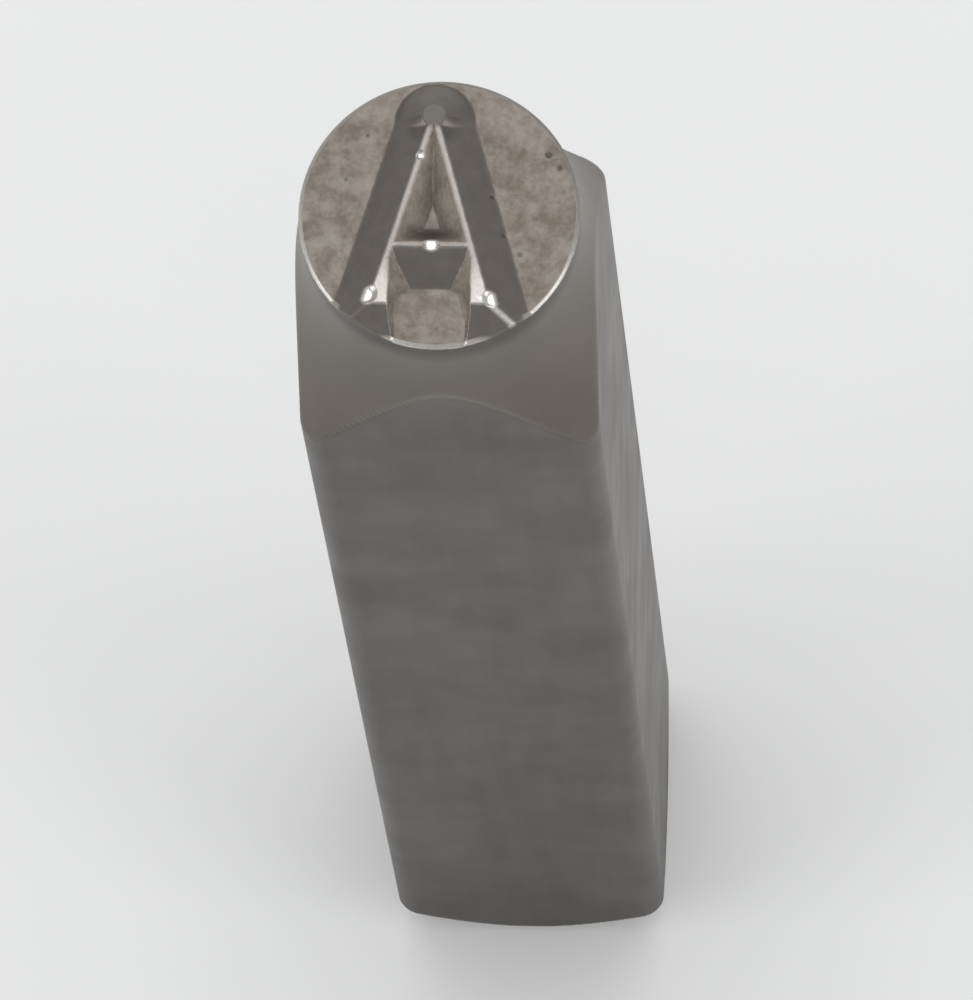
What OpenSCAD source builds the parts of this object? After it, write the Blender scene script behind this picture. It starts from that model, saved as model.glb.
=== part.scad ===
// Steel letter punch: a square bar, turned at one end to a round face that carries a raised letter.
// Millimetres. The punch stands on its striking end, with +Z up the bar and the letter's feet towards -Y.

/* [Shank] */
// Width of the square bar across its flats
shank_w = 9.5; // [8:0.5:14]
// Radius of the bar's four long corners
corner_r = 0.75; // [0.4:0.05:1.6]
// Overall length, from the striking end to the crest of the letter
overall_l = 67; // [55:1:90]

/* [Letter end] */
// How far the rim of the round face lies inside the flats
face_step = 0.35; // [0.2:0.05:0.8]
// Straight band under the rim, before the neck starts to flare
land_h = 0.3; // [0.2:0.1:2]
// Radius of the hollow neck that flares out to the corners
neck_r = 18; // [10:1:40]
// Broken edge round the rim of the face
rim_break = 0.1; // [0.05:0.05:0.2]

/* [Letter] */
// Height of the letter over its crest
letter_h = 6.5; // [4:0.1:6.8]
// Width of the letter over its crest, at the feet
letter_w = 3.7; // [3:0.1:4.8]
// Height of the cross bar's centre line above the feet
bar_rise = 1.9; // [1.2:0.05:3]
// Radius of the round flat where the legs meet
apex_r = 0.35; // [0.1:0.05:0.5]
// Width of the slot between the feet, at the crest; the legs widen down to it
slot_w = 2.6; // [1.8:0.1:3]
// How far the crest stands above the face
relief_h = 0.8; // [0.6:0.05:1.2]
// Width of the narrow flat along the crest, which marks the work
crest_w = 0.12; // [0.06:0.02:0.4]
// Slope of the flanks round the outside of the letter and below its cross bar, in degrees
flank_angle = 35; // [30:1:55]
// Slope of the flanks in the counter and the slot, in degrees
counter_angle = 50; // [40:1:70]
// How far the letter's middle lies right of the bar's axis
letter_x = -0.2; // [-0.5:0.05:0.5]
// How far the letter's middle lies above the bar's axis, towards the apex
letter_y = 0.1; // [-0.5:0.05:0.5]

/* [Striking end] */
// Chamfer on the striking end, measured at the middle of a flat
head_chamfer = 0.5; // [0.3:0.1:1.5]

/* [Hidden] */
$fn = 96;
steel = "#6b6863";
face_r = shank_w / 2 - face_step;
face_z = overall_l - relief_h;
head_r = shank_w / 2 - head_chamfer;
// Shapes that only cut or trim others reach this far, past the whole punch across its axis.
reach = 2 * shank_w;
// The ridges start this far under the face, so that they are one solid with it.
root_h = 2 * rim_break;
ridge_h = relief_h + root_h;
crest_half = crest_w / 2;
flank_run = ridge_h / tan(flank_angle);
counter_run = ridge_h / tan(counter_angle);
// The right leg's centre line, from the middle of the apex to the line of the feet
apex = [0, letter_h / 2 - apex_r];
foot = [letter_w / 2 - crest_half, -letter_h / 2];
// The legs run on below the feet, far enough for the slope there to cut them right across.
past_foot = foot + 2 * flank_run * (foot - apex) / norm(foot - apex);
// The cross bar runs from one leg's centre line to the other's.
bar_y = foot.y + bar_rise;
bar_x = foot.x * (apex.y - bar_y) / (apex.y - foot.y);

// Square bar with round corners
module bar() {
    flat_w = shank_w - 2 * corner_r;
    linear_extrude(overall_l) {
        square([shank_w, flat_w], center = true);
        square([flat_w, shank_w], center = true);
        for (x = [-1, 1], y = [-1, 1])
            translate([x, y] * flat_w / 2) circle(r = corner_r);
    }
}

// Half outline of everything that the lathe leaves: striking end, neck, land and rim
module turned_outline() {
    difference() {
        square([reach, face_z]);
        // chamfer of the striking end
        polygon([[head_r, 0], [reach, 0], [reach, reach - head_r]]);
        // hollow neck, tangent to the land
        translate([face_r + neck_r, face_z - land_h]) circle(r = neck_r);
        // land
        translate([face_r, face_z - land_h]) square([reach, land_h]);
        // broken edge of the rim
        polygon([
            [face_r - rim_break, face_z], [face_r, face_z - rim_break],
            [reach, face_z - rim_break], [reach, face_z]
        ]);
    }
}

// One straight stroke as a ridge with a narrow flat crest. Its flanks spread by the given runs, left and
// right of the way from one end to the other.
module ridge(from, to, left_run, right_run) {
    way = to - from;
    translate([from.x, from.y, -root_h])
        rotate([90, 0, 90 + atan2(way.y, way.x)])
            linear_extrude(norm(way))
                polygon([
                    [-crest_half - right_run, 0], [crest_half + left_run, 0],
                    [crest_half, ridge_h], [-crest_half, ridge_h]
                ]);
}

// What fills the corners between the legs and the slot, and so widens the crest towards the feet
module feet() {
    intersection() {
        translate([0, 0, -root_h])
            linear_extrude(ridge_h) polygon([apex, past_foot, [-past_foot.x, past_foot.y]]);
        for (side = [0, 1]) mirror([side, 0, 0])
            rotate([90, 0, 0])
                linear_extrude(reach, center = true)
                    polygon([
                        [slot_w / 2 - counter_run, -root_h], [slot_w / 2, relief_h],
                        [reach, relief_h], [reach, -root_h]
                    ]);
    }
}

// Both legs with the cone round the apex, cut off at the feet by a slope like the outer flanks
module legs() {
    top_y = apex.y + crest_half + flank_run;
    intersection() {
        union() {
            for (side = [0, 1]) mirror([side, 0, 0])
                ridge(past_foot, apex, counter_run, flank_run);
            feet();
            translate([apex.x, apex.y, -root_h])
                cylinder(h = ridge_h, r1 = crest_half + flank_run, r2 = apex_r);
        }
        rotate([90, 0, 90])
            linear_extrude(reach, center = true)
                polygon([
                    [foot.y - flank_run, -root_h], [top_y, -root_h],
                    [top_y, relief_h], [foot.y, relief_h]
                ]);
    }
}

// Letter A. It reads the same in the print as on the punch.
module letter() {
    translate([letter_x, letter_y, face_z]) {
        legs();
        ridge([-bar_x, bar_y], [bar_x, bar_y], counter_run, flank_run);
    }
}

module punch() {
    color(steel) {
        intersection() {
            bar();
            rotate_extrude() turned_outline();
        }
        // The turned face cuts the flanks off at the rim.
        intersection() {
            letter();
            translate([0, 0, face_z - root_h]) cylinder(h = ridge_h, r = face_r);
        }
    }
}

punch();
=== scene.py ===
"""The looks of a steel letter punch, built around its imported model.

The punch stands on its striking end, with +Z up the bar and the letter's feet towards -Y.
Shapes are worked out in millimetres, and each mesh is scaled to metres when it is made.
"""
import math
import random

import bpy
import numpy as np
from mathutils import Matrix, Vector, noise
from mathutils.geometry import delaunay_2d_cdt


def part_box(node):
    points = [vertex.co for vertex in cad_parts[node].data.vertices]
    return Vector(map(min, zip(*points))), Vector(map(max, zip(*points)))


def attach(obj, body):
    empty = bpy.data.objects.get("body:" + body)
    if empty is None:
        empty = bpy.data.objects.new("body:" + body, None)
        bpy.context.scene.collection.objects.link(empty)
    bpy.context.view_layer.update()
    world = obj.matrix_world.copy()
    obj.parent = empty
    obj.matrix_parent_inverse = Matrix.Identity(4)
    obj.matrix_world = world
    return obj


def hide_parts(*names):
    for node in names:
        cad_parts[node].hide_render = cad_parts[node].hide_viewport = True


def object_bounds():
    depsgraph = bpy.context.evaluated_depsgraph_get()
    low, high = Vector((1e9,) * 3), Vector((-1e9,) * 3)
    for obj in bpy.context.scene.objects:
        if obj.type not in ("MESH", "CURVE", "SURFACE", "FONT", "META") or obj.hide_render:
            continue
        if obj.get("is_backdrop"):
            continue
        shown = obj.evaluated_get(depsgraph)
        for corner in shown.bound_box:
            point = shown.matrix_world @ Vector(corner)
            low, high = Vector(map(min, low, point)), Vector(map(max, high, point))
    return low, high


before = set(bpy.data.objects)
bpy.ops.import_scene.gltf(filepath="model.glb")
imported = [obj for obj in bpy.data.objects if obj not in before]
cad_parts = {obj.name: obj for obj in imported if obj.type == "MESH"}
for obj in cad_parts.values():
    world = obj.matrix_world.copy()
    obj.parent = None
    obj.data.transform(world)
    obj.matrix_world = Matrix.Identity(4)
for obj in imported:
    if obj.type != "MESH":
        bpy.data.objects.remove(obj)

CAD_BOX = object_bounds()
MM = 0.001

# Sizes of the punch in millimetres. Width and length come from the frame, and the rest are the same as in
# the part's source.
LOW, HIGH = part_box("punch")
SHANK_HALF = (HIGH.x - LOW.x) / 2 / MM
LENGTH = (HIGH.z - LOW.z) / MM
CORNER_R = 0.75
FACE_INSET = 0.35
LAND_H = 0.3
NECK_R = 18
RIM_BREAK = 0.1
HEAD_CHAMFER = 0.5
RELIEF = 0.8
CREST_HALF = 0.06
SLOPE = math.tan(math.radians(35))
COUNTER_SLOPE = math.tan(math.radians(50))
LETTER_AT = np.array([-0.2, 0.1])
LETTER_H = 6.5
LETTER_W = 3.7
APEX_R = 0.35
BAR_RISE = 1.9
SLOT_HALF = 2.6 / 2

# What follows from them. ROOT is how far under the face the letter's ridges start.
FACE_R = SHANK_HALF - FACE_INSET
FACE_Z = LENGTH - RELIEF
HEAD_R = SHANK_HALF - HEAD_CHAMFER
ROOT = 2 * RIM_BREAK
FOOT_X = LETTER_W / 2 - CREST_HALF
FOOT_Y = -LETTER_H / 2
APEX_Y = LETTER_H / 2 - APEX_R
CONE_SLOPE = (RELIEF + ROOT) / (CREST_HALF + (RELIEF + ROOT) / SLOPE - APEX_R)
BAR_Y = FOOT_Y + BAR_RISE
BAR_X = FOOT_X * (APEX_Y - BAR_Y) / (APEX_Y - FOOT_Y)
LEG = np.array([FOOT_X, FOOT_Y - APEX_Y]) / math.hypot(FOOT_X, FOOT_Y - APEX_Y)
SIDES = (-1, 1)

# The kinds of surface and the places of painted shade and highlight, each of which becomes a mask on the mesh
# for the material to read
MASKS = ("ground", "cut", "wear_and_highlight", "turned", "letter", "spot", "pit", "dark", "arc", "land", "below")


def flank(normal, offset, slope):
    """A flank: its unit normal across the face, the distance along it to the crest's edge, and its slope."""
    return np.array(normal, float), offset, slope


OUTER = [flank((-side * LEG[1], LEG[0]), LEG[0] * APEX_Y + CREST_HALF, SLOPE) for side in SIDES]
INNER = [flank((side * LEG[1], -LEG[0]), CREST_HALF - LEG[0] * APEX_Y, COUNTER_SLOPE) for side in SIDES]
SLOT_WALLS = [flank((-side, 0), -SLOT_HALF, COUNTER_SLOPE) for side in SIDES]
OVER_BAR = flank((0, 1), BAR_Y + CREST_HALF, COUNTER_SLOPE)
UNDER_BAR = flank((0, -1), CREST_HALF - BAR_Y, SLOPE)
UNDER_FEET = flank((0, -1), -FOOT_Y, SLOPE)
FLANKS = OUTER + INNER + SLOT_WALLS + [OVER_BAR, UNDER_BAR, UNDER_FEET]

# The slot's walls get steeper by this share of their slope. That starts WALL_FROM before the line of the feet
# and is complete WALL_TO past it.
WALL_STEEPER = 3.2
WALL_FROM = 0.75
WALL_TO = 0.15

# How close two surfaces are where they start to run into each other, in millimetres of height or of radius
ARC_BLEND = 0.07
CREST_BLEND = 0.03
BASE_BLEND = 0.05
HIP_BLEND = 0.10
EDGE_BLEND = 0.03
RIM_BLEND = 0.05

# Wear takes up to this depth off the whole crest.
CREST_WEAR = 0.02
# Rubbed places on the crest, in the letter's coordinates: across, along the face, radius, depth. The two at
# the feet also get a painted highlight.
CREST_RUBS = [
    (-0.38, 1.57, 0.17, 0.09), (0.03, BAR_Y, 0.31, 0.09),
    (-1.98, -2.98, 0.42, 0.15), (2.02, -3.10, 0.40, 0.14),
]
# How bright the crest is rubbed along the legs, the painted highlight added at the feet, and how much less
# along the bar
LEG_SHARE = 0.28
FOOT_HIGHLIGHT_SHARE = 0.28
BAR_SHARE = 0.12
# The rubbing of the hip at the right foot fades out from half the relief down to this height.
HIP_END = 0.15
# Small pits in the face, in its own coordinates: across, along the face, radius, depth
PITS = [
    (3.37, 1.98, 0.14, 0.05), (3.72, 1.55, 0.11, 0.04), (1.67, 0.55, 0.10, 0.05), (2.06, -0.70, 0.09, 0.05),
    (2.55, -1.32, 0.09, 0.04), (-2.95, 1.10, 0.07, 0.03), (-2.30, 2.55, 0.08, 0.03),
]
# Fine unevenness of the face's floor: depth, size of its features, seed
GRAIN = [(0.005, 0.35, 1), (0.004, 0.18, 2)]
# How bright the rim is rubbed, against the angle round the face in degrees, from the right anticlockwise
RIM_ANGLES = (0, 25, 60, 95, 130, 165, 195, 210, 225, 250, 270, 290, 310, 330, 345, 360)
RIM_SHARES = (0.35, 0.2, 0.25, 0.25, 0.35, 0.5, 0.75, 0.5, 0.4, 0.9, 0.7, 0.7, 0.45, 0.45, 0.48, 0.35)
# The patch of painted shade over the cross bar: height of its middle over the bar, half its width, half its
# height
DARK_RISE = 0.42
DARK_HALF_W = 1.2
DARK_HALF_H = 0.6
# How dark the shoulders under the apex are painted, against that patch, and between which radii they fade out
SHOULDER_SHARE = 0.28
SHOULDER_FADE = (0.75, 1.05)

# Colours of the steel, in linear red, green and blue. Where there are two, noise runs from one to the other.
FLAT_TONES = (0.098, 0.086, 0.076), (0.121, 0.107, 0.095)
# The lower flats: painted shade, darker towards the bottom of the bar
SHADED_LOWER_TONES = (0.074, 0.065, 0.057), (0.094, 0.083, 0.074)
NECK_TONES = (0.146, 0.131, 0.115), (0.172, 0.154, 0.135)
FLANK_TONES = (0.172, 0.156, 0.137), (0.200, 0.182, 0.160)
FLOOR_TONES = (0.150, 0.126, 0.104), (0.262, 0.234, 0.206)
CUT_TONES = (0.205, 0.175, 0.140), (0.300, 0.265, 0.225)
SPOT_TONE = (0.122, 0.118, 0.110)
# Bare steel where the crest and rim are worn, also used for the painted highlights at the feet
BARE_AND_HIGHLIGHT_TONE = (0.72, 0.69, 0.65)
# Colours that only tint what is under them: the share where the mask is full, then the colour
# Painted shade in a band on the neck just under the rim
LAND_SHADE_TINT = 0.8, (0.055, 0.048, 0.041)
# Painted shade over the cross bar and on the shoulders under the apex
SHADE_TINT = 0.9, (0.035, 0.031, 0.027)
PIT_TINT = 0.6, (0.045, 0.036, 0.028)
# A painted highlight along the arcs where the neck meets the flats
ARC_HIGHLIGHT_TINT = 0.35, (0.30, 0.29, 0.27)
# Roughness of the smooth surfaces, of the machined ones and of bare steel, and how metallic the dull film is
SMOOTH_ROUGH = (0.36, 0.44)
GROUND_ROUGH = (0.38, 0.55)
BARE_ROUGH = 0.27
FILM_METALLIC = 0.15

# Mesh steps in millimetres, counts of columns, and the rings that the mesh of the face follows inside its rim
GRID_STEP = 0.056
LINE_STEP = 0.05
FLAT_COLUMNS = 46
CORNER_COLUMNS = 12
RING_RADII = [FACE_R - d for d in (0.2, 0.165, 0.135, 0.11, 0.09, 0.07, 0.05, 0.03, 0.012)]
# What counts as on the letter's surface: how far past its heights, and how far off the flanks that own it
PAST_HEIGHT = 0.12
OFF_FLANK = 0.09

random.seed(7)


def smooth_min(a, b, blend):
    """The lower of two values, rounded off where they are less than blend apart."""
    h = np.clip(0.5 + 0.5 * (b - a) / blend, 0, 1)
    return b + (a - b) * h - blend * h * (1 - h)


def smooth_max(a, b, blend):
    """The higher of two values, rounded off in the same way."""
    return -smooth_min(-a, -b, blend)


def fade(value, start, end):
    """0 up to start, 1 from end on, and a smooth step between them."""
    t = np.clip((value - start) / (end - start), 0, 1)
    return t * t * (3 - 2 * t)


def noise_at(points, scale, seed):
    """Smooth noise, about -1 to 1, with features about scale millimetres across."""
    shift = Vector((seed * 17.3, seed * 5.1, seed * 9.7))
    return np.array([noise.noise(Vector((*p, 0)) / scale + shift) for p in points])


# The letter's relief, as heights above the face in the letter's own coordinates
def rise(plane, x, y):
    """Height of a flank's plane above the face."""
    normal, offset, slope = plane
    return RELIEF - slope * (normal[0] * x + normal[1] * y - offset)


def cone_rise(x, y):
    """Height of the cone round the apex, above the face."""
    return RELIEF - CONE_SLOPE * (np.hypot(x, y - APEX_Y) - APEX_R)


def wall_rise(wall, x, y):
    """Height of a slot wall, which stands up more and more steeply towards the feet and below them."""
    steeper = 1 + WALL_STEEPER * fade(-y, -FOOT_Y - WALL_FROM, -FOOT_Y + WALL_TO)
    return RELIEF - (RELIEF - rise(wall, x, y)) * steeper


def letter_surface(x, y):
    """Height of the letter's ridges above the face before wear, and 1 on the steep inner flanks."""
    height = cone_rise(x, y)
    inner = np.zeros_like(height)
    feet = rise(UNDER_FEET, x, y)

    def add(outside, inside, missing):
        """Adds the ridge between two flanks, except where it is missing."""
        nonlocal height, inner
        part = np.where(missing, -RELIEF, smooth_min(outside, inside, EDGE_BLEND))
        steep = fade(outside - inside, -0.02, 0.02)
        inner = np.where(part > height, steep, inner)
        height = np.maximum(height, part)

    for side, outer, counter, wall in zip(SIDES, OUTER, INNER, SLOT_WALLS):
        outside = smooth_min(rise(outer, x, y), feet, HIP_BLEND)
        inside = np.maximum(rise(counter, x, y), wall_rise(wall, x, y))
        add(outside, inside, side * x * LEG[0] + (y - APEX_Y) * LEG[1] < 0)
    add(rise(UNDER_BAR, x, y), rise(OVER_BAR, x, y), np.abs(x) > BAR_X)
    return height, inner


def crest_top(x, y):
    """Height that wear has left of the crest."""
    uneven = 0.5 + 0.5 * noise_at(np.column_stack([x, y]), 0.3, 3)
    lost = CREST_WEAR * uneven
    for rub_x, rub_y, radius, depth in CREST_RUBS:
        lost = np.maximum(lost, depth * (1 - fade(np.hypot(x - rub_x, y - rub_y), 0.45 * radius, radius)))
    return RELIEF - lost


def pit_mask(x, y):
    """1 in the middle of a pit and 0 outside, and the depth there, in the face's coordinates."""
    mask = np.zeros_like(x)
    depth = np.zeros_like(x)
    for pit_x, pit_y, radius, pit_depth in PITS:
        near = 1 - fade(np.hypot(x - pit_x, y - pit_y), 0.2 * radius, radius)
        mask = np.maximum(mask, near)
        depth = np.maximum(depth, pit_depth * near)
    return mask, depth


# The body's outline, from the rim down to the striking end
def bar_columns():
    """Points round the square bar's outline, anticlockwise from the foot of the right flat."""
    flat = SHANK_HALF - CORNER_R
    quarter = [(SHANK_HALF, flat * (2 * i / FLAT_COLUMNS - 1)) for i in range(FLAT_COLUMNS)]
    for i in range(CORNER_COLUMNS):
        a = math.pi / 2 * i / CORNER_COLUMNS
        quarter.append((flat + CORNER_R * math.cos(a), flat + CORNER_R * math.sin(a)))
    points = []
    for _ in range(4):
        points += quarter
        quarter = [(-y, x) for x, y in quarter]
    return np.array(points)


def body_rows():
    """Radius that the lathe leaves and height, row by row from under the rim to the striking end."""
    # land
    rows = [(FACE_R, FACE_Z - d) for d in (0.1, 0.115, 0.14, 0.18, 0.24)]
    # neck, until its radius has passed the bar's corners
    neck_top = FACE_Z - LAND_H
    neck_depth = 8.5
    neck_rows = 72
    for i in range(neck_rows + 1):
        d = neck_depth * i / neck_rows
        rows.append((FACE_R + NECK_R - math.sqrt(NECK_R ** 2 - d * d), neck_top - d))
    # bar, which the lathe doesn't touch
    untouched = 2 * SHANK_HALF
    shank_rows = 60
    chamfer_top = 2.4
    shank_top = neck_top - neck_depth
    for i in range(1, shank_rows):
        rows.append((untouched, shank_top + (chamfer_top - shank_top) * i / shank_rows))
    # chamfer, its rounded edge and the flat of the striking end
    chamfer_rows = 20
    for i in range(chamfer_rows):
        z = chamfer_top * (1 - i / chamfer_rows)
        rows.append((HEAD_R + z, z))
    rows += [(HEAD_R - d, h) for d, h in ((-0.06, 0.06), (-0.02, 0.025), (0.02, 0.007), (0.07, 0))]
    rows += [(HEAD_R * s, 0) for s in (0.96, 0.9, 0.8, 0.65, 0.5, 0.35, 0.2, 0.08)]
    return np.array(rows)


def runs(points, keep):
    """The stretches of a chain of points where keep holds, two points or more each."""
    stretch = []
    for point, kept in zip(points, keep):
        if kept:
            stretch.append(point)
            continue
        if len(stretch) > 1:
            yield stretch
        stretch = []
    if len(stretch) > 1:
        yield stretch


def on_surface(points, owners):
    """Where the letter's surface is that of all the given flanks or cones."""
    x, y = (points - LETTER_AT).T
    height, _ = letter_surface(x, y)
    keep = (height > -PAST_HEIGHT) & (height < RELIEF + PAST_HEIGHT)
    for owner in owners:
        keep &= np.abs(owner(x, y) - height) < OFF_FLANK
    return keep


def crease_chains():
    """Chains of points along the letter's edges, for the mesh to follow, in the face's coordinates."""
    reach = RING_RADII[0] - 0.02
    lines = []
    # along the edge at the crest and the edge at the floor of each flank
    for plane in FLANKS:
        normal, offset, slope = plane
        spread = [-0.06, -0.03, 0, 0.03] + [RELIEF / slope + d for d in (-0.07, -0.035, 0, 0.035, 0.07)]
        lines += [(normal, offset + d, [plane]) for d in spread]
    # A hip or a valley is where two slopes have dropped by the same height.
    parallel = 0.1
    for i, one in enumerate(FLANKS):
        for other in FLANKS[i + 1:]:
            across = one[2] * one[0] - other[2] * other[0]
            size = np.linalg.norm(across)
            if size > parallel:
                lines.append((across / size, (one[2] * one[1] - other[2] * other[1]) / size, [one, other]))
    for normal, offset, owners in lines:
        offset = offset + normal @ LETTER_AT
        if abs(offset) >= reach:
            continue
        half = math.sqrt(reach ** 2 - offset ** 2)
        t = np.linspace(-half, half, max(2, int(2 * half / LINE_STEP)))
        points = normal * offset + np.outer(t, np.array([-normal[1], normal[0]]))
        tests = [lambda x, y, plane=plane: rise(plane, x, y) for plane in owners]
        yield from runs(points, on_surface(points, tests))
    # round the cone at the apex, at its top and at its foot
    cone_foot = APEX_R + RELIEF / CONE_SLOPE
    for radius in [APEX_R + d for d in (-0.03, 0, 0.03)] + [cone_foot + d for d in (-0.035, 0, 0.035)]:
        turn = np.linspace(0, 2 * math.pi, int(2 * math.pi * radius / LINE_STEP))
        points = radius * np.column_stack([np.cos(turn), np.sin(turn)]) + LETTER_AT + np.array([0, APEX_Y])
        inside = np.linalg.norm(points, axis=1) < reach
        yield from runs(points, inside & on_surface(points, [cone_rise]))


def face_mesh(rim):
    """Triangles of the round face. Its outer ring is the given rim, in order, as the first vertices."""
    points = [Vector(p) for p in rim]
    edges = [(i, (i + 1) % len(rim)) for i in range(len(rim))]

    def add_line(chain, closed):
        """Adds a chain of points that the triangles follow."""
        start = len(points)
        points.extend(Vector(p) for p in chain)
        edges.extend((start + i, start + i + 1) for i in range(len(chain) - 1))
        if closed:
            edges.append((len(points) - 1, start))

    for radius in RING_RADII:
        turn = np.linspace(0, 2 * math.pi, 2 * len(rim), endpoint=False)
        add_line(radius * np.stack([np.cos(turn), np.sin(turn)], 1), True)
    for chain in crease_chains():
        add_line(chain, False)
    # A grid of points in the middle, each a little off its place so that no pattern shows
    row_step = GRID_STEP * math.sqrt(3) / 2
    rows = int(FACE_R / row_step)
    columns = int(FACE_R / GRID_STEP) + 1
    shift = 0.2
    for j in range(-rows, rows + 1):
        for i in range(-columns, columns + 1):
            x = (i + 0.5 * (j % 2) + random.uniform(-shift, shift)) * GRID_STEP
            y = j * row_step + random.uniform(-shift, shift) * GRID_STEP
            if math.hypot(x, y) < RING_RADII[0] - 0.03:
                points.append(Vector((x, y)))
    same_place = 1e-5
    verts, _, faces, origins, _, _ = delaunay_2d_cdt(points, edges, [], 0, same_place)
    # The rim's points come first, in the order in which they were given.
    place = {old: new for new, olds in enumerate(origins) for old in olds}
    order = [place[i] for i in range(len(rim))]
    on_rim = set(order)
    order += [i for i in range(len(verts)) if i not in on_rim]
    rank = {v: i for i, v in enumerate(order)}
    return np.array([verts[i] for i in order]), [[rank[v] for v in f] for f in faces]


def hip_mask(x, y):
    """Where the hip at the right foot is rubbed bright: 1 on the hip, 0 a little way off."""
    outer = rise(OUTER[1], x, y)
    feet = rise(UNDER_FEET, x, y)
    near = 1 - fade(np.abs(outer - feet), 0.03, 0.16)
    return near * fade(np.minimum(outer, feet), HIP_END, RELIEF / 2) * (y < FOOT_Y + 0.2) * (x > 0)


def face_surface(xy):
    """Heights of the round face above its floor, and its masks."""
    x, y = xy.T
    r = np.hypot(x, y)
    letter_x, letter_y = (xy - LETTER_AT).T
    raw, inner = letter_surface(letter_x, letter_y)
    top = crest_top(letter_x, letter_y)
    letter = smooth_min(raw, top, CREST_BLEND)
    broken_edge = -smooth_max(r - (FACE_R - RIM_BREAK), 0 * r, RIM_BLEND)
    height = smooth_max(letter, broken_edge, BASE_BLEND)
    on_floor = 1 - fade(letter, -0.03, 0.02)
    pits, pit_depth = pit_mask(x, y)
    grain = sum(depth * noise_at(xy, size, seed) for depth, size, seed in GRAIN)
    on_rim = fade(r, FACE_R - 0.14, FACE_R - 0.1)
    inside_rim = 1 - on_rim
    height = height + grain * on_floor * inside_rim - pit_depth * inside_rim

    # Masks. Each fade below gives the width of a mask's edge.
    from_apex = np.hypot(letter_x, letter_y - APEX_Y)
    spot = 1 - fade(from_apex, APEX_R - 0.03, APEX_R + 0.05)
    crest = fade(raw - top, -0.045, -0.01) * fade(from_apex, APEX_R, APEX_R + 0.14)
    # The crest is rubbed bright, with a painted highlight added towards the feet, where it widens, and least
    # bright along the bar.
    over_bar = letter_y - BAR_Y
    on_bar = 1 - fade(np.abs(over_bar), 0.1, 0.2)
    on_bar = on_bar * (1 - fade(np.abs(letter_x), BAR_X - 0.25, BAR_X - 0.1))
    towards_feet = fade(-letter_y, -BAR_Y + 0.3, -FOOT_Y - 0.5)
    crest = crest * (LEG_SHARE + FOOT_HIGHLIGHT_SHARE * towards_feet - BAR_SHARE * on_bar)
    # Rubbed places are bare steel; at the two by the feet this is also a painted highlight.
    for rub_x, rub_y, radius, _ in CREST_RUBS:
        near = 1 - fade(np.hypot(letter_x - rub_x, letter_y - rub_y), 0.3 * radius, 1.1 * radius)
        crest = np.maximum(crest, near * fade(raw - top, -0.1, -0.02))
    angle = np.degrees(np.arctan2(y, x)) % 360
    rim = on_rim * (1 - fade(height, 0.08, 0.2))
    rim = rim * np.interp(angle, RIM_ANGLES, RIM_SHARES)
    wear_and_highlight = np.maximum(np.maximum(crest, rim), hip_mask(letter_x, letter_y))
    # Painted shade: the flank over the cross bar is painted dark, and the shoulders under the apex a little
    # dark.
    dark = 1 - fade(np.hypot(letter_x / DARK_HALF_W, (over_bar - DARK_RISE) / DARK_HALF_H), 0.1, 1)
    dark = dark * fade(over_bar, 0.05, 0.15)
    shoulder = fade(from_apex, APEX_R, APEX_R + 0.08) * (1 - fade(from_apex, *SHOULDER_FADE))
    shoulder = shoulder * (letter_y < APEX_Y) * (1 - inner)
    dark = np.maximum(dark, SHOULDER_SHARE * shoulder) * (1 - wear_and_highlight)
    cut = inner * (1 - on_floor)
    ground = np.maximum(on_floor * inside_rim, cut)
    masks = {
        "ground": ground, "cut": cut, "wear_and_highlight": wear_and_highlight, "letter": 1 - ground,
        "spot": spot, "pit": pits, "dark": dark,
    }
    return height, masks


def punch_mesh():
    """One closed mesh of the whole punch, in millimetres, with a mask for each kind of surface."""
    columns = bar_columns()
    bar_r = np.linalg.norm(columns, axis=1)
    unit = columns / bar_r[:, None]
    n = len(columns)
    xy, tris = face_mesh(unit * FACE_R)
    height, face_masks = face_surface(xy)
    top = np.column_stack([xy, FACE_Z + height])
    layers = [np.column_stack([face_masks.get(name, np.zeros(len(top))) for name in MASKS])]
    angle = np.degrees(np.arctan2(unit[:, 1], unit[:, 0])) % 360
    rim_share = np.interp(angle, RIM_ANGLES, RIM_SHARES) * (1 - fade(height[:n], -0.08, -0.02))
    body = []
    for turned, z in body_rows():
        wall = np.minimum(smooth_min(bar_r, np.full(n, turned), ARC_BLEND), bar_r)
        body.append(np.column_stack([unit * wall[:, None], np.full(n, z)]))
        down = FACE_Z - z
        upper = z > LENGTH / 2
        masks = {
            "wear_and_highlight": (1 - fade(np.full(n, down), 0.1, 0.16)) * upper * rim_share,
            "turned": fade(bar_r - turned, -0.02, 0.05),
            # a painted highlight along the arcs
            "arc": 1 - fade(np.abs(bar_r - turned), 0.012, 0.045),
            # painted shade in a band just under the rim
            "land": (1 - fade(np.full(n, down), 0.35, 1.5)) * upper,
            # painted shade, darker towards the bottom of the bar
            "below": fade(np.full(n, down), 3.5, 7.0) * upper + (not upper),
        }
        layers.append(np.column_stack([masks.get(name, np.zeros(n)) for name in MASKS]))
    # the last vertex is the middle of the striking end
    verts = np.vstack([top] + body + [[[0, 0, 0]]])
    centre = {"turned": 1, "below": 1}
    masks = np.vstack(layers + [[[centre.get(name, 0) for name in MASKS]]])
    faces = [tuple(t) for t in tris]
    starts = [0] + [len(top) + n * i for i in range(len(body))]
    for a, b in zip(starts, starts[1:]):
        for i in range(n):
            j = (i + 1) % n
            faces.append((a + i, b + i, b + j, a + j))
    middle = len(verts) - 1
    last = starts[-1]
    faces += [(last + i, middle, last + (i + 1) % n) for i in range(n)]
    return verts, faces, masks


def make_object(name, verts, faces):
    """A smoothly shaded object from a mesh in millimetres."""
    mesh = bpy.data.meshes.new(name)
    mesh.from_pydata((verts * MM).tolist(), [], faces)
    mesh.validate()
    mesh.shade_smooth()
    obj = bpy.data.objects.new(name, mesh)
    bpy.context.scene.collection.objects.link(obj)
    return obj


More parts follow.
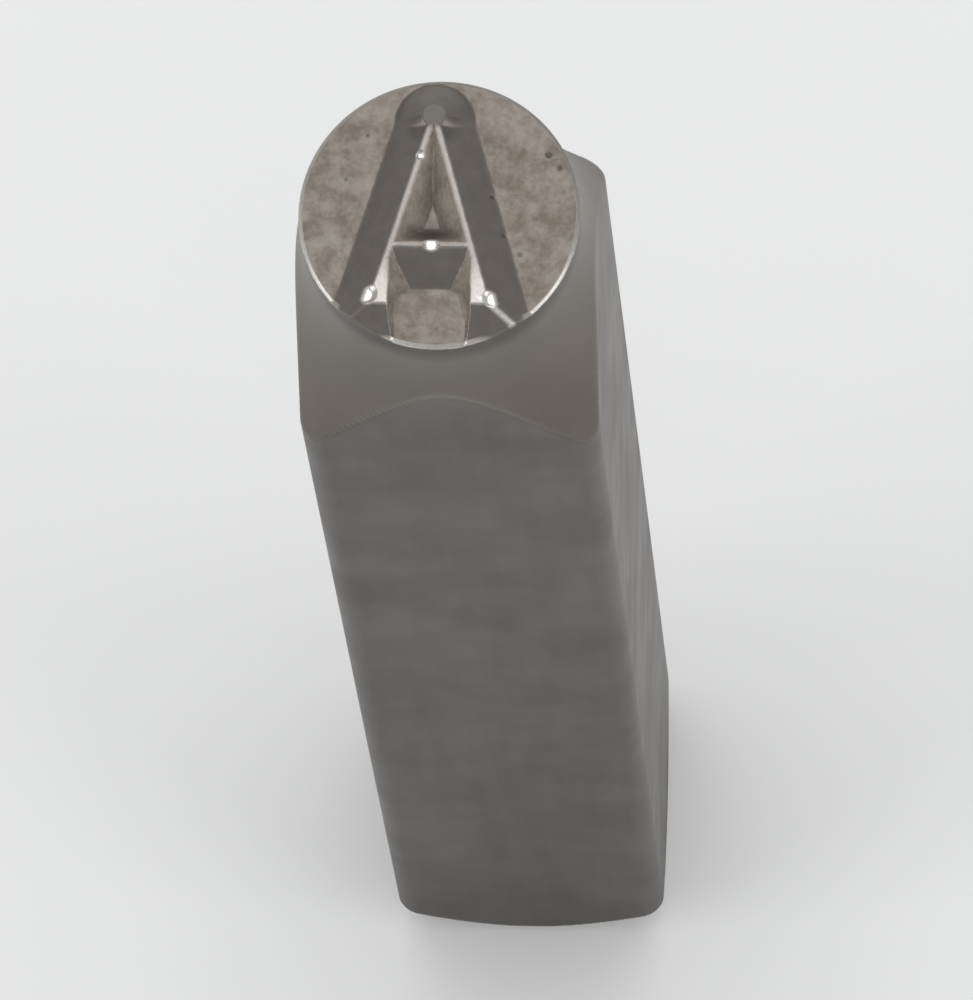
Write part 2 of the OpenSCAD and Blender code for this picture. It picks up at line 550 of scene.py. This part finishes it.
class Nodes:
    """A material's node tree, with short ways to make the nodes used here. Sizes are in millimetres."""

    def __init__(self, name):
        self.material = bpy.data.materials.new(name)
        self.material.use_nodes = True
        self.tree = self.material.node_tree
        self.shader = self.tree.nodes["Principled BSDF"]
        place = self.tree.nodes.new("ShaderNodeTexCoord").outputs["Object"]
        self.place = self.vector("MULTIPLY", place, (1 / MM,) * 3)

    def link(self, value, socket):
        """Feeds a socket from another node, or gives it a fixed value."""
        if isinstance(value, bpy.types.NodeSocket):
            self.tree.links.new(value, socket)
        elif isinstance(value, tuple) and len(value) == 3 and socket.type == "RGBA":
            socket.default_value = (*value, 1)
        else:
            socket.default_value = value

    def vector(self, operation, a, b):
        node = self.tree.nodes.new("ShaderNodeVectorMath")
        node.operation = operation
        self.link(a, node.inputs[0])
        self.link(b, node.inputs[1])
        return node.outputs["Vector"]

    def math(self, operation, a, b):
        node = self.tree.nodes.new("ShaderNodeMath")
        node.operation = operation
        self.link(a, node.inputs[0])
        self.link(b, node.inputs[1])
        return node.outputs["Value"]

    def mask(self, name):
        node = self.tree.nodes.new("ShaderNodeAttribute")
        node.attribute_name = name
        return node.outputs["Fac"]

    def noise(self, size, detail=2.0, stretch=(1, 1, 1), roughness=0.5):
        """Noise from 0 to 1, with features about size millimetres across times the stretch."""
        node = self.tree.nodes.new("ShaderNodeTexNoise")
        node.inputs["Scale"].default_value = 1 / size
        node.inputs["Detail"].default_value = detail
        node.inputs["Roughness"].default_value = roughness
        place = self.vector("MULTIPLY", self.place, tuple(1 / s for s in stretch))
        self.link(place, node.inputs["Vector"])
        return node.outputs["Fac"]

    def spread(self, value, low, high, to_low=0.0, to_high=1.0):
        """Maps low..high to to_low..to_high, and holds at the ends."""
        node = self.tree.nodes.new("ShaderNodeMapRange")
        self.link(value, node.inputs["Value"])
        for name, v in (("From Min", low), ("From Max", high), ("To Min", to_low), ("To Max", to_high)):
            node.inputs[name].default_value = v
        return node.outputs["Result"]

    def blend(self, share, a, b):
        """Colour a, with a share of colour b mixed in."""
        node = self.tree.nodes.new("ShaderNodeMix")
        node.data_type = "RGBA"
        self.link(share, node.inputs["Factor"])
        self.link(a, node.inputs[6])
        self.link(b, node.inputs[7])
        return node.outputs[2]

    def mix(self, share, a, b):
        """Number a, with a share of number b mixed in."""
        node = self.tree.nodes.new("ShaderNodeMix")
        self.link(share, node.inputs["Factor"])
        self.link(a, node.inputs[2])
        self.link(b, node.inputs[3])
        return node.outputs[0]

    def bump(self, height, depth, before=None):
        """Bump of a height from 0 to 1, depth millimetres deep."""
        node = self.tree.nodes.new("ShaderNodeBump")
        node.inputs["Distance"].default_value = depth * MM
        self.link(height, node.inputs["Height"])
        if before is not None:
            self.link(before, node.inputs["Normal"])
        return node.outputs["Normal"]


def steel_material():
    """Hardened steel with a thin dark oxide.

    The masks tell apart its machined floor, smooth flanks, turned neck, drawn flats and rubbed edges, and
    where shade and highlights are painted.
    """
    n = Nodes("blackened_steel")
    masks = {name: n.mask(name) for name in MASKS}
    cloud = n.noise(3.0, 3)
    blotch = n.noise(0.5, 3, roughness=0.6)
    mottle = n.noise(0.16, 3, roughness=0.65)

    def tinted(colour, name, tint):
        """The colour, with a tint mixed in where the named mask says."""
        share, tone = tint
        return n.blend(n.math("MULTIPLY", masks[name], share), colour, tone)

    flats = n.blend(n.spread(cloud, 0.35, 0.65), *FLAT_TONES)
    # The bar was drawn, which leaves faint streaks along it. Lower down the flats are painted darker as
    # painted shade.
    along = n.noise(0.7, 4, stretch=(1, 1, 10), roughness=0.62)
    lower = n.blend(n.spread(along, 0.3, 0.7), *SHADED_LOWER_TONES)
    flats = n.blend(masks["below"], flats, lower)
    neck = n.blend(n.spread(cloud, 0.35, 0.65), *NECK_TONES)
    # painted shade in a band just under the rim
    neck = tinted(neck, "land", LAND_SHADE_TINT)
    flank_tone = n.blend(n.spread(blotch, 0.3, 0.7), *FLANK_TONES)
    patches = n.math("MULTIPLY", n.noise(0.6, 3, roughness=0.6), 0.55)
    grit = n.math("ADD", patches, n.math("MULTIPLY", mottle, 0.45))
    ground = n.blend(n.spread(grit, 0.4, 0.6), *FLOOR_TONES)
    cut = n.blend(n.spread(grit, 0.4, 0.6), *CUT_TONES)
    colour = n.blend(masks["turned"], flats, neck)
    colour = n.blend(masks["letter"], colour, flank_tone)
    colour = n.blend(masks["spot"], colour, SPOT_TONE)
    colour = n.blend(masks["ground"], colour, ground)
    colour = n.blend(masks["cut"], colour, cut)
    # painted shade over the cross bar and on the shoulders under the apex
    colour = tinted(colour, "dark", SHADE_TINT)
    colour = tinted(colour, "pit", PIT_TINT)
    # a painted highlight along the arcs
    colour = tinted(colour, "arc", ARC_HIGHLIGHT_TINT)
    # Bare steel where worn, and painted highlights at the feet
    streak = n.noise(0.12, 3, roughness=0.6)
    rubbed = n.math("MULTIPLY", masks["wear_and_highlight"], n.spread(streak, 0.2, 0.5, 0.6, 1.0))
    colour = n.blend(rubbed, colour, BARE_AND_HIGHLIGHT_TONE)
    n.link(colour, n.shader.inputs["Base Color"])
    # The cut inner flanks carry a dull brown film, which scatters light as no bare metal does.
    film = n.math("MULTIPLY", masks["cut"], n.math("SUBTRACT", 1.0, masks["wear_and_highlight"]))
    n.link(n.mix(film, 1.0, FILM_METALLIC), n.shader.inputs["Metallic"])
    smooth_rough = n.spread(cloud, 0.3, 0.7, *SMOOTH_ROUGH)
    ground_rough = n.spread(mottle, 0.3, 0.7, *GROUND_ROUGH)
    rough = n.mix(masks["ground"], smooth_rough, ground_rough)
    rough = n.mix(rubbed, rough, BARE_ROUGH)
    n.link(rough, n.shader.inputs["Roughness"])
    grain = n.bump(n.noise(0.1, 3, roughness=0.7), 0.007)
    drawn = n.bump(n.noise(0.09, 2, stretch=(1, 1, 60)), 0.0015, n.bump(n.noise(0.6, 2), 0.004))
    node = n.tree.nodes.new("ShaderNodeMix")
    node.data_type = "VECTOR"
    n.link(masks["ground"], node.inputs["Factor"])
    n.link(drawn, node.inputs[4])
    n.link(grain, node.inputs[5])
    n.link(node.outputs[1], n.shader.inputs["Normal"])
    return n.material


verts, faces, masks = punch_mesh()
punch = make_object("punch_steel", verts, faces)
for name, values in zip(MASKS, masks.T):
    punch.data.attributes.new(name, "FLOAT", "POINT").data.foreach_set("value", values.astype(np.float32))
punch.data.materials.append(steel_material())
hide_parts("punch")
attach(punch, "root")


# Floor, light and camera
def make_floor():
    """A pale floor, four metres square."""
    half = 2.0 / MM
    corners = np.array([(-half, -half, 0), (half, -half, 0), (half, half, 0), (-half, half, 0)])
    floor = make_object("floor", corners, [(0, 1, 2, 3)])
    n = Nodes("pale_floor")
    tone = n.blend(n.spread(n.noise(60.0, 2), 0.3, 0.7), (0.80, 0.80, 0.80), (0.84, 0.84, 0.835))
    n.link(tone, n.shader.inputs["Base Color"])
    n.shader.inputs["Roughness"].default_value = 0.85
    floor.data.materials.append(n.material)
    floor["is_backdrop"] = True


def soft_light(name, place, size, radiance):
    """A square soft light that faces the letter. Place and size are in metres."""
    lamp = bpy.data.lights.new(name, "AREA")
    lamp.shape = "SQUARE"
    lamp.size = size
    lamp.energy = radiance * size * size * math.pi
    obj = bpy.data.objects.new(name, lamp)
    obj.location = place
    obj.rotation_euler = (Vector(place) - Vector((0, 0, HIGH.z))).to_track_quat("Z", "Y").to_euler()
    bpy.context.scene.collection.objects.link(obj)


def light_scene():
    """One soft light overhead and one on each side, in an evenly lit surround."""
    soft_light("overhead", (0.0, 0.45, 1.1), 1.2, 1.1)
    soft_light("left_side", (-0.9, -0.35, 0.45), 0.5, 2.6)
    soft_light("right_side", (0.9, -0.35, 0.45), 0.5, 2.6)
    world = bpy.data.worlds.new("studio")
    world.use_nodes = True
    world.node_tree.nodes["Background"].inputs["Color"].default_value = (0.98, 0.99, 1, 1)
    world.node_tree.nodes["Background"].inputs["Strength"].default_value = 0.65
    bpy.context.scene.world = world
    bpy.context.scene.view_settings.view_transform = "Standard"


def place_camera():
    """Camera at the photograph's viewing angle on this punch, as far as that could be told."""
    elevation, azimuth, roll = (math.radians(a) for a in (71, 10.5, 0.6))
    distance = 0.4
    aim = Vector((0, 0, 0.0365))
    level = math.cos(elevation)
    toward = Vector((level * math.sin(azimuth), -level * math.cos(azimuth), math.sin(elevation)))
    place = Vector((0, 0, FACE_Z * MM)) + toward * distance
    back = (place - aim).normalized()
    right = (Vector((1, 0, 0)) - back * back.x).normalized()
    up = back.cross(right)
    right, up = (right * math.cos(roll) + up * math.sin(roll), up * math.cos(roll) - right * math.sin(roll))
    lens = bpy.data.cameras.new("camera")
    lens.sensor_fit = "VERTICAL"
    lens.sensor_height = 36
    lens.lens = 462
    lens.clip_start = 0.01
    camera = bpy.data.objects.new("camera", lens)
    camera.matrix_world = Matrix.Translation(place) @ Matrix((right, up, back)).transposed().to_4x4()
    bpy.context.scene.collection.objects.link(camera)
    bpy.context.scene.camera = camera


make_floor()
light_scene()
place_camera()

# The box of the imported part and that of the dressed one, for comparison
sizes = {"cad": CAD_BOX, "visual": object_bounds()}
{k: [list(corner) for corner in box] for k, box in sizes.items()}
